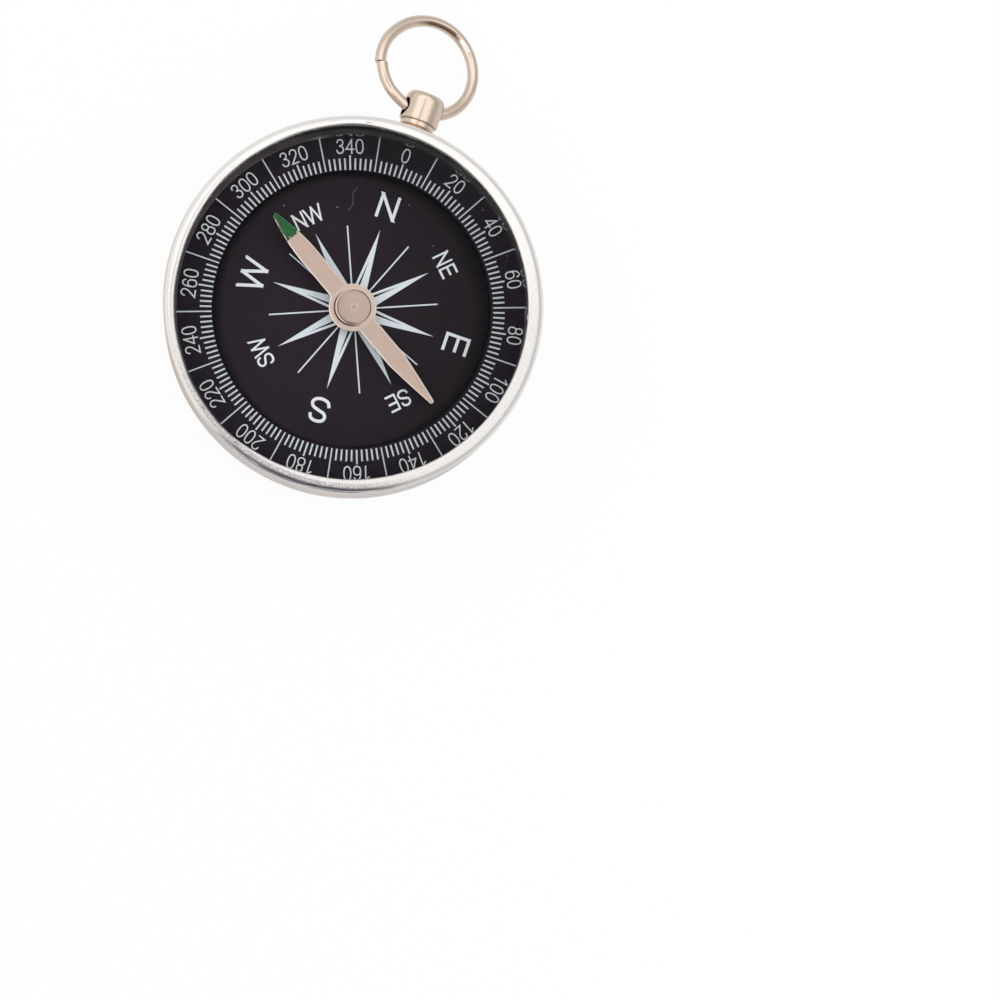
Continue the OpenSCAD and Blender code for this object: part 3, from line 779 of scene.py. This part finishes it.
class COMPASS_OT_bezel(Operator):
    """Makes the pressed bezel, with its rolled shoulder and the nicks in its lip"""

    bl_idname = "compass.bezel"
    bl_label = "Bezel"

    # Bearings of the nicks on the dial, and how deep each is as a share of the nick's depth
    nick_shares = {75.6: 1, 210.5: 0.7, 235: -0.8, 350: 0.5}
    # Bearings at which the lip isn't round, and how far it stands out there in millimetres
    bend_step = 15
    lip_bends = {-19: 0.28, -4: 0.1, 11: 0.06, 41: -0.04, 56: -0.09, 71: -0.08, 86: -0.04, 131: 0.04,
                 191: 0.1, 206: 0.32, 221: 0.25, 236: 0.1, 266: -0.14, 281: -0.12, 326: 0.12}
    same_bearing = 0.99995

    def execute(self, context):
        sizes, colours = settings_of(context)
        edge = sizes.break_edge
        shoulder = sizes.bezel_round
        lip = sizes.lip_round
        bore_r = SHOULDER_R - sizes.case_wall
        opening_r = bore_r - sizes.lip_reach
        inside_r = bore_r + sizes.neck_wall
        section = [(inside_r, SEAM_Z)]
        section += corner(SHOULDER_R - edge, SEAM_Z + edge, edge, -90, 0)
        section += corner(SHOULDER_R - shoulder, BEZEL_TOP - shoulder, shoulder, 0, 90)
        section += [(opening_r + 1.5 * lip, BEZEL_TOP)]
        section += corner(opening_r + lip, BEZEL_TOP - lip, lip, 90, 180)
        section += [(opening_r, CRYSTAL_TOP), (inside_r, CRYSTAL_TOP), (inside_r, SEAM_Z)]
        bezel = turn_section("bezel_ring", section, BEZEL_STEPS)
        lip_end = opening_r + 2 * lip
        move_vertices(bezel, (sizes.bezel_off, 0, 0), lambda place: place.xy.length > lip_end)
        self.bend_lip(bezel, opening_r, lip_end)
        self.dent(bezel, opening_r, sizes)
        smooth_shading(bezel, 35)
        finish_piece(bezel, bezel_metal(colours, sizes.bezel_off), "case", "bezel_metal", "bezel")
        return {"FINISHED"}

    def bend_lip(self, bezel, opening_r, lip_end):
        """Moves the lip's edge smoothly out or in at each bearing, with the rest of the bezel hidden."""
        bend_w = opening_r * math.radians(self.bend_step)
        for bearing, out in self.lip_bends.items():
            ahead = outwards_at(bearing)
            select_where(bezel, lambda place: place.xy.length > lip_end)
            bpy.ops.mesh.hide(unselected=False)
            leave_edit()
            move_vertices(bezel, ahead * out * MM,
                          lambda place: place.xy.normalized().dot(ahead.xy) > self.same_bearing,
                          use_proportional_edit=True, proportional_edit_falloff="SMOOTH",
                          proportional_size=bend_w)
            edit(bezel)
            bpy.ops.mesh.reveal(select=False)
            leave_edit()

    def dent(self, bezel, opening_r, sizes):
        """Pushes the lip's edge in or out at each nick, and a little down."""
        out_share, down_share = 0.5, 0.4
        for bearing, share in self.nick_shares.items():
            ahead = outwards_at(bearing - DIAL_TURN)
            centre = ahead * opening_r + Vector((0, 0, BEZEL_TOP))
            down = Vector((0, 0, sizes.nick_d * abs(share) * down_share))
            move_vertices(bezel, ahead * sizes.nick_d * share * out_share - down,
                          lambda place: (place - centre).length < sizes.nick_w / 2)


class COMPASS_OT_crystal(Operator):
    """Makes the crystal with ground edges, and finishes its seal"""

    bl_idname = "compass.crystal"
    bl_label = "Crystal"

    def execute(self, context):
        sizes, colours = settings_of(context)
        bevel = sizes.crystal_bevel
        section = [(0, CRYSTAL_Z), (INNER_R - bevel, CRYSTAL_Z), (INNER_R, CRYSTAL_Z + bevel),
                   (INNER_R, CRYSTAL_TOP - bevel), (INNER_R - bevel, CRYSTAL_TOP), (0, CRYSTAL_TOP)]
        crystal = turn_section("crystal_disc", section, WIDE_STEPS)
        smooth_shading(crystal, 30)
        finish_piece(crystal, clear_crystal(), "case", "crystal_glass", "crystal")
        crystal.visible_shadow = False
        dress("crystal_seal", plain_finish("seal_rubber", colours.rubber, 0.6))
        return {"FINISHED"}


class COMPASS_OT_dial(Operator):
    """Makes the black wall with its sloped foot, and finishes the degree ring and the dial"""

    bl_idname = "compass.dial"
    bl_label = "Dial"

    def execute(self, context):
        sizes, colours = settings_of(context)
        wall_r = INNER_R - sizes.wall_t
        foot = (wall_r - sizes.wall_foot_w, RING_TOP)
        section = [(INNER_R, RING_TOP), foot, (wall_r, RING_TOP + sizes.wall_foot_h), (wall_r, SEAL_Z),
                   (INNER_R, SEAL_Z), (INNER_R, RING_TOP)]
        wall = turn_section("wall_tube", section, WIDE_STEPS)
        smooth_shading(wall, 20)
        finish_piece(wall, glossy_wall(colours), "case", "wall_enamel", "dial_wall")
        dress("degree_ring", ring_black(colours))
        dress("dial_plate", dial_black(colours))
        ink = printed_ink(colours)
        dress("degree_scale", ink)
        dress("compass_rose", ink)
        dress("dial_carrier", plain_finish("carrier_plastic", colours.carrier, 0.5))
        return {"FINISHED"}


# Strokes of the printed characters. A point is a share of the character's height to the right of
# its middle, and a share of that height up from its foot, along the middle of the stroke.
OVER = 0.2


def oval(y, half_w, half_h):
    """A slightly square oval round the character's middle line."""
    steps = 28
    power = 2 / 2.35
    circle = arc((0, 0), 1, 0, 360, steps)
    square = [[math.copysign(abs(part) ** power, part) for part in point] for point in circle]
    return [(half_w * across, y + half_h * up) for across, up in square]


def upright(x):
    """A stroke that runs past the foot and the top, where it is cut."""
    return [(x, -OVER), (x, 1 + OVER)]


LEAN = 0.3 * OVER
STROKES = {
    "0": [oval(0.5, 0.25, 0.5)],
    "1": [upright(0.09), smooth_line([(-0.2, 0.76), (-0.06, 0.84), (0.09, 1.04)], 4)],
    "2": [smooth_line([(-0.235, 0.7), (-0.17, 0.92), (0.01, 1), (0.19, 0.92), (0.235, 0.72), (0.15, 0.5),
                       (-0.02, 0.3), (-0.25, 0.02), (-0.33, -0.08)]), [(-0.27, 0), (0.26, 0)]],
    "3": [smooth_line([(-0.23, 0.76), (-0.15, 0.94), (0, 1), (0.15, 0.94), (0.2, 0.77), (0.13, 0.6),
                       (-0.06, 0.535)]),
          smooth_line([(-0.06, 0.535), (0.15, 0.47), (0.24, 0.28), (0.16, 0.07), (0, 0), (-0.16, 0.06),
                       (-0.245, 0.25)])],
    "4": [upright(0.13), [(-0.28, 0.3), (0.32, 0.3)], [(-0.31, 0.24), (0.17, 1.06)]],
    "6": [smooth_line([(0.22, 0.78), (0.14, 0.95), (0, 1), (-0.16, 0.9), (-0.24, 0.66), (-0.25, 0.36)]),
          oval(0.31, 0.245, 0.31)],
    "8": [oval(0.765, 0.205, 0.235), oval(0.27, 0.245, 0.27)],
    "N": [upright(-0.37), upright(0.37), [(-0.52, 1 + OVER), (0.52, -OVER)]],
    "E": [upright(-0.37), [(-0.37, 0), (0.4, 0)], [(-0.37, 0.525), (0.34, 0.525)], [(-0.37, 1), (0.38, 1)]],
    "S": [smooth_line([(0.33, 0.72), (0.25, 0.92), (0, 1), (-0.25, 0.93), (-0.335, 0.765), (-0.25, 0.6),
                       (0.02, 0.515), (0.28, 0.42), (0.375, 0.25), (0.27, 0.07), (0, 0), (-0.28, 0.075),
                       (-0.385, 0.29)])],
    "W": [[(-0.64 - LEAN, 1 + OVER), (-0.34 + LEAN, -OVER)], [(-0.34 - LEAN, -OVER), (LEAN, 1 + OVER)],
          [(-LEAN, 1 + OVER), (0.34 + LEAN, -OVER)], [(0.34 - LEAN, -OVER), (0.64 + LEAN, 1 + OVER)]],
}
# Half of each character's width, as a share of its height
HALF_WIDTH_SHARES = {"N": 0.45, "E": 0.43, "S": 0.45, "W": 0.7}
DIGIT_HALF_SHARE = 0.355
# Characters whose strokes run past the foot or the top and are cut there
CUT_FOOT = "124NEW"
CUT_TOP = "14NEW"


def print_character(character, stroke):
    """Makes one character a unit high, with strokes of the given share of its height."""
    parts = []
    for points in STROKES[character]:
        part = draw_line("stroke", [(x, y, 0) for x, y in points])
        bpy.ops.mesh.remove_doubles(threshold=MERGE)
        bpy.ops.mesh.extrude_region_move(TRANSFORM_OT_translate={"value": (0, 0, 1)})
        leave_edit()
        use_modifier(part, "SOLIDIFY", thickness=stroke, offset=0, use_even_offset=True)
        parts.append(part)
    whole = parts[0]
    whole.name = "character"
    for part in parts[1:]:
        use_modifier(whole, "BOOLEAN", operation="UNION", object=part, solver="EXACT")
        bpy.data.objects.remove(part)
    for cut, level, direction in ((CUT_FOOT, -stroke / 2, -1), (CUT_TOP, 1 + stroke / 2, 1)):
        if character in cut:
            edit(whole)
            bpy.ops.mesh.bisect(plane_co=(0, level, 0), plane_no=(0, direction, 0), use_fill=True,
                                clear_outer=True)
            leave_edit()
    return whole


def copy_of(piece):
    pick(piece)
    bpy.ops.object.duplicate(linked=False)
    return bpy.context.object


class Lettering:
    """Characters of one height and stroke, of which labels are made."""

    def __init__(self, characters, height, stroke, narrow=1):
        self.unit = height - stroke
        self.narrow = narrow
        self.characters = {each: print_character(each, stroke / self.unit) for each in characters}

    def label(self, text, gap, radius, bearing, centre, surface_z, shift=0):
        """Puts copies of the characters side by side, with their tops outwards, on a circle of the dial."""
        placed = []
        cursor = 0
        for character in text:
            half = HALF_WIDTH_SHARES.get(character, DIGIT_HALF_SHARE) * self.narrow * self.unit
            cursor += half
            placed.append((copy_of(self.characters[character]), cursor))
            cursor += half + gap
        middle = (cursor - gap) / 2
        turn = math.radians(DIAL_TURN - bearing)
        for copy, offset in placed:
            copy.scale = (self.unit * self.narrow, self.unit, PRINT_T)
            copy.rotation_euler = (0, 0, turn)
            local = Vector((offset - middle + shift, radius - self.unit / 2, 0))
            copy.location = Matrix.Rotation(turn, 3, "Z") @ local + Vector((*centre, surface_z))
            fix_place(copy)
        return [copy for copy, _ in placed]


def finish_print(name, placed, *letterings):
    """Joins labels to one piece of ink, and removes the characters that they were copied from."""
    for lettering in letterings:
        for character in lettering.characters.values():
            bpy.data.objects.remove(character)
    pick(*placed)
    bpy.ops.object.join()
    bpy.context.object.name = name
    finish_piece(bpy.context.object, bpy.data.materials["white_print"], "case", "white_print")


class COMPASS_OT_numbers(Operator):
    """Prints the plain numbers of the degree ring, every twentieth degree"""

    bl_idname = "compass.numbers"
    bl_label = "Numbers"

    def execute(self, context):
        sizes, _ = settings_of(context)
        lettering = Lettering("0123468", sizes.number_h, sizes.number_stroke)
        placed = []
        for degrees in range(0, 360, NUMBER_STEP):
            placed += lettering.label(str(degrees), 0, sizes.number_r, degrees, NUMBER_CENTRE, RING_TOP)
        finish_print("degree_numbers", placed, lettering)
        return {"FINISHED"}


class COMPASS_OT_letters(Operator):
    """Prints the plain letters of the eight winds on the dial"""

    bl_idname = "compass.letters"
    bl_label = "Letters"

    narrow_share = 0.83
    # Each label's bearing, and its gap between letters, radius and shift clockwise in millimetres
    labels = {"N": (0, 0, 12.97, -0.1), "NE": (45, 0.33, 12.24, 0), "E": (90, 0, 12.94, 0.08),
              "SE": (135, 0.22, 12.21, 0.09), "S": (180, 0, 12.85, 0.05), "SW": (225, 0, 12.18, 0.13),
              "W": (270, 0, 12.61, -0.1), "NW": (315, 0.14, 12.25, -0.05)}

    def execute(self, context):
        sizes, _ = settings_of(context)
        main = Lettering("NESW", sizes.letter_h, sizes.letter_stroke)
        small = Lettering("NESW", sizes.pair_h, sizes.pair_stroke, self.narrow_share)
        placed = []
        for text, (bearing, gap, radius, shift) in self.labels.items():
            lettering = main if len(text) == 1 else small
            placed += lettering.label(text, gap * MM, radius * MM, bearing, LETTER_CENTRE, DIAL_TOP,
                                      shift * MM)
        finish_print("direction_letters", placed, main, small)
        return {"FINISHED"}


class COMPASS_OT_pivot(Operator):
    """Finishes the pivot: the bush, the pin and the jewel"""

    bl_idname = "compass.pivot"
    bl_label = "Pivot"

    def execute(self, context):
        colours = context.scene.compass_finishes
        dress("pivot_bush", plain_finish("bush_brass", colours.brass, 0.25, metallic=1))
        dress("pivot_pin", plain_finish("pin_steel", colours.steel, 0.2, metallic=1))
        dress("needle_jewel", plain_finish("jewel_glass", colours.jewel, 0.1))
        return {"FINISHED"}


def refined_copy(name, node):
    """A merged copy of a CAD node's mesh, to be worked further."""
    copy = copy_of(frame["nodes"][node])
    copy.name = name
    copy.data.name = name
    for key in [key for key in copy.keys() if key.startswith("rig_")]:
        del copy[key]
    bpy.ops.object.parent_clear(type="CLEAR_KEEP_TRANSFORM")
    edit(copy)
    bpy.ops.mesh.customdata_custom_splitnormals_clear()
    bpy.ops.mesh.remove_doubles(threshold=MERGE)
    bpy.ops.mesh.dissolve_limited(angle_limit=math.radians(0.5))
    leave_edit()
    return copy


class COMPASS_OT_needle(Operator):
    """Makes the needle with chamfered edges, and its worn painted tip"""

    bl_idname = "compass.needle"
    bl_label = "Needle"

    def execute(self, context):
        sizes, colours = settings_of(context)
        blade = refined_copy("needle_plate", "needle_blade")
        use_modifier(blade, "BEVEL", width=sizes.blade_edge, segments=1, limit_method="ANGLE",
                     angle_limit=math.radians(50), harden_normals=False)
        foot_z = BLADE_TOP - sizes.blade_edge
        move_vertices(blade, (0, 0, sizes.blade_edge - sizes.blade_edge_h),
                      lambda place: abs(place.z - foot_z) < sizes.blade_edge / 10)
        smooth_shading(blade, 14)
        finish_piece(blade, needle_metal(colours), "needle", "needle_steel", "needle_blade")
        dress("needle_paint", worn_paint(colours))
        return {"FINISHED"}


class COMPASS_OT_cap(Operator):
    """Turns the needle's cap, with its bevel, fine rings and the lathe's mark"""

    bl_idname = "compass.cap"
    bl_label = "Cap"

    rings = 14
    # The way in which the cap's top is off its foot
    lean = Vector((0.944, 0.33, 0))

    def execute(self, context):
        sizes, colours = settings_of(context)
        edge = sizes.break_edge
        cap_z = low("needle_cap").z
        neck_r = 1.5 * MM
        spread_r = 1.8 * MM
        clearance = 0.02 * MM
        jewel_top = high("needle_jewel").z
        jewel_r = high("needle_jewel").x + clearance
        top_r = CAP_R - sizes.cap_bevel
        shoulder_z = CAP_TOP - sizes.cap_bevel_h
        section = [(jewel_r, jewel_top), (jewel_r, cap_z), (spread_r, cap_z), (spread_r, BLADE_Z),
                   (neck_r, BLADE_Z), (neck_r, BLADE_TOP), (CAP_R, BLADE_TOP), (CAP_R, shoulder_z - edge),
                   (CAP_R - edge / 2, shoulder_z), (top_r + edge / 2, CAP_TOP - edge / 2),
                   (top_r - edge / 2, CAP_TOP)]
        land = top_r - edge - sizes.cap_dimple_r
        for ring in range(1, self.rings):
            groove = sizes.cap_groove if ring % 2 else 0
            section.append((top_r - edge - land * ring / self.rings, CAP_TOP - groove))
        section += [(sizes.cap_dimple_r, CAP_TOP), (0, CAP_TOP - sizes.cap_dimple_r), (0, jewel_top),
                    (jewel_r, jewel_top)]
        cap = turn_section("needle_boss", section, CAP_STEPS)
        off = self.lean * sizes.cap_off
        move_vertices(cap, off, lambda place: place.z > shoulder_z + edge)
        cap.location = (0, PIVOT_Y, 0)
        fix_place(cap)
        smooth_shading(cap, 20)
        finish_piece(cap, cap_metal(colours, off), "needle", "cap_metal", "needle_cap")
        return {"FINISHED"}


class COMPASS_OT_crown(Operator):
    """Finishes the collar and the crown"""

    bl_idname = "compass.crown"
    bl_label = "Crown"

    def execute(self, context):
        sizes, colours = settings_of(context)
        hole = (sizes.crown_turn, 1.2)
        dress("pendant_collar", plated_metal("collar_metal", colours.nickel, 0.2, 0.8))
        rim = sizes.collar_rim
        section = arc((sizes.collar_rim_r - rim, 0), rim, -90, 90, ROUND_STEPS)
        section = [(CROWN_R / 2, -rim), *section, (CROWN_R / 2, rim), (CROWN_R / 2, -rim)]
        piece = turn_section("collar_rim", section, RIM_STEPS)
        piece.rotation_euler = (-math.pi / 2, 0, 0)
        piece.location = (0, SHOULDER_R + sizes.collar_rim_out, CROWN_Z)
        fix_place(piece)
        smooth_shading(piece, 40)
        # The rim is lighter than the collar: painted light that lifts the shade and dark reflection at its
        # foot.
        bright = plated_metal("collar_rim_metal", display(252, 238, 220), 0.2, 0.8)
        finish_piece(piece, bright, "case", "collar_metal")
        dress("crown", plated_metal("crown_metal", colours.nickel, 0.16, 0.6, hole=hole))
        return {"FINISHED"}


class COMPASS_OT_bow(Operator):
    """Bends the wire ring, which isn't quite round and whose ends stand a step apart"""

    bl_idname = "compass.bow"
    bl_label = "Bow ring"

    # Angle round the ring from the crown's right, and how far the wire stands out there in millimetres
    bends = [(197.2, 0), (225, -0.1), (250, -0.3), (315, -0.35), (350, -0.3), (390, -0.1), (435, 0.1),
             (480, -0.05), (510, -0.05), (530, 0.1), (556.7, 0.25)]
    bend_steps = 14

    def execute(self, context):
        sizes, colours = settings_of(context)
        set_back = (CROWN_R + sizes.bow_slide) ** 2 / (4 * sizes.bow_r)
        seat = (Matrix.Translation((0, HOLE_Y, CROWN_Z)) @ Matrix.Rotation(sizes.crown_turn, 4, "Y")
                @ Matrix.Rotation(-sizes.bow_drop, 4, "X")
                @ Matrix.Translation((-sizes.bow_slide, sizes.bow_r - set_back, 0)))
        points = []
        for degrees, out in smooth_line(self.bends, self.bend_steps):
            points.append(seat @ (outwards_at(90 - degrees) * (sizes.bow_r + out * MM)))
        draw_line("bow_wire", points)
        leave_edit()
        bpy.ops.object.convert(target="CURVE")
        wire = bpy.context.object
        wire.data.bevel_depth = sizes.wire_r
        wire.data.bevel_resolution = ROUND_STEPS
        wire.data.use_fill_caps = True
        bpy.ops.object.convert(target="MESH")
        wire = bpy.context.object
        wire.name = "bow_wire"
        smooth_shading(wire, 40)
        # Centre and reach of the painted reflection and highlight on the ring's inner side.
        stain_and_reflection = (seat.to_translation(), sizes.bow_r / MM + 0.05)
        metal = plated_metal("wire_metal", colours.nickel, 0.17, 0.4, stain_and_reflection=stain_and_reflection)
        finish_piece(wire, metal, "bow", "wire_metal", "bow_ring")
        return {"FINISHED"}


def soft_lamp(name, place, size, power, tint):
    """A round lamp that shines on the bezel and is neither seen nor mirrored."""
    deselect_all()
    way = Vector((0, 0, BEZEL_TOP)) - Vector(place)
    bpy.ops.object.light_add(type="AREA", location=place, rotation=way.to_track_quat("-Z", "Y").to_euler())
    lamp = bpy.context.object
    lamp.name = name
    lamp.data.shape = "DISK"
    lamp.data.size = size
    lamp.data.energy = power
    lamp.data.color = tint
    lamp.visible_camera = False
    lamp.visible_glossy = False


def rays(shader):
    """1 for what the camera sees, what a surface mirrors and what glass lets through."""
    kinds = ("Camera", "Glossy", "Transmission")
    return [shader.node("LightPath", output=f"Is {kind} Ray") for kind in kinds]


class COMPASS_OT_stage(Operator):
    """Makes the camera, the floor, the room's light and the lamps"""

    bl_idname = "compass.stage"
    bl_label = "Stage"

    # Places of the lamps in metres, and the way from the compass to the dark patch overhead
    key_place = (0.42, 0.2, 0.3)
    fill_place = (-0.4, 0.1, 0.35)
    patch_way = (-0.025, 0.09, 0.9956)

    def execute(self, context):
        stage = context.scene.compass_stage
        self.camera(context, stage)
        self.floor(stage)
        self.room(context, stage)
        soft_lamp("key", self.key_place, 0.3, stage.key_power, (1, 0.99, 0.97))
        soft_lamp("fill", self.fill_place, 0.4, stage.fill_power, (0.97, 0.98, 1))
        context.scene.view_settings.view_transform = "Standard"
        return {"FINISHED"}

    def camera(self, context, stage):
        deselect_all()
        bpy.ops.object.camera_add(location=stage.camera_place)
        camera = context.object
        right = Vector(stage.camera_right).normalized()
        back = -Vector(stage.camera_view).normalized()
        up = back.cross(right).normalized()
        camera.rotation_euler = Matrix((right, up, back)).transposed().to_euler()
        camera.data.lens = stage.lens
        camera.data.clip_start = 5 * MM
        context.scene.camera = camera

    def floor(self, stage):
        deselect_all()
        bpy.ops.mesh.primitive_plane_add(size=stage.floor_size, location=(0, 0, -0.02 * MM))
        floor = bpy.context.object
        floor.name = "floor"
        shader, _ = material("pale_floor")
        seen, mirrored, through = rays(shader)
        paper = shader.node("BsdfDiffuse", inputs={"Color": (0.86, 0.86, 0.87, 1)})
        white = shader.node("Emission", inputs={"Color": (1, 1, 1, 1), "Strength": 1 - mirrored * 0.24})
        share = (seen + mirrored + through).smaller(1) * 0.93
        blend = shader.node("MixShader", inputs={0: share, 1: paper, 2: white})
        shader.node_end("OutputMaterial", blend)
        floor.data.materials.append(shader.owner)

    def room(self, context, stage):
        """White for what the camera sees; softer light, with a dark patch overhead, for the rest."""
        world = bpy.data.worlds.new("room")
        context.scene.world = world
        shader = Shader(world)
        seen, mirrored, through = rays(shader)
        direction = shader.node("TexCoord", output="Generated")
        x, y, rise = direction.axes()
        right, up = picture_sides(x, y, 1)
        operands = {0: direction, 1: self.patch_way}
        overhead = shader.node("VectorMath", {"operation": "DOT_PRODUCT"}, operands, "Value")
        tent = 0.7 - right * 0.16 + rise.step(0.5, 0.8) * 0.6
        tent = tent * (1 - overhead.step(0.985, 0.995) * 0.93)
        ahead, aside = 0.966, 0.26
        south = up * ahead + right * aside + abs(right * ahead - up * aside) * 0.85
        reflected = tent * (1 - south.step(-0.38, -0.48) * 0.84)
        straight = seen.larger(through)
        strength = straight + (1 - straight) * (mirrored * reflected + (1 - mirrored) * stage.sky_light)
        light = shader.node("Background", inputs={"Color": (1, 1, 1, 1), "Strength": strength})
        shader.node_end("OutputWorld", light)


class COMPASS_PT_panel(Panel):
    """Lists the compass's pieces and their sizes"""

    bl_idname = "COMPASS_PT_panel"
    bl_label = "Pocket Compass"
    bl_space_type = "VIEW_3D"
    bl_region_type = "UI"
    bl_category = "Compass"

    def draw(self, context):
        scene = context.scene
        for group in (scene.compass_sizes, scene.compass_finishes, scene.compass_stage):
            box = self.layout.box()
            for name in group.__annotations__:
                box.prop(group, name)
        for operator in OPERATORS:
            self.layout.operator(operator.bl_idname)


GROUPS = {"compass_sizes": CompassSizes, "compass_finishes": CompassFinishes, "compass_stage": CompassStage}
OPERATORS = (COMPASS_OT_stage, COMPASS_OT_case, COMPASS_OT_bezel, COMPASS_OT_crystal, COMPASS_OT_dial,
             COMPASS_OT_numbers, COMPASS_OT_letters, COMPASS_OT_pivot, COMPASS_OT_needle, COMPASS_OT_cap,
             COMPASS_OT_crown, COMPASS_OT_bow)


def register():
    for made in (*GROUPS.values(), *OPERATORS, COMPASS_PT_panel):
        bpy.utils.register_class(made)
    for name, group in GROUPS.items():
        setattr(bpy.types.Scene, name, PointerProperty(type=group))


def unregister():
    for name in GROUPS:
        delattr(bpy.types.Scene, name)
    for made in (COMPASS_PT_panel, *reversed(OPERATORS), *reversed(GROUPS.values())):
        bpy.utils.unregister_class(made)


def main():
    register()
    for operator in OPERATORS:
        family, name = operator.bl_idname.split(".")
        getattr(getattr(bpy.ops, family), name)()
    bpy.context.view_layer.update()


if __name__ == "__main__":
    main()
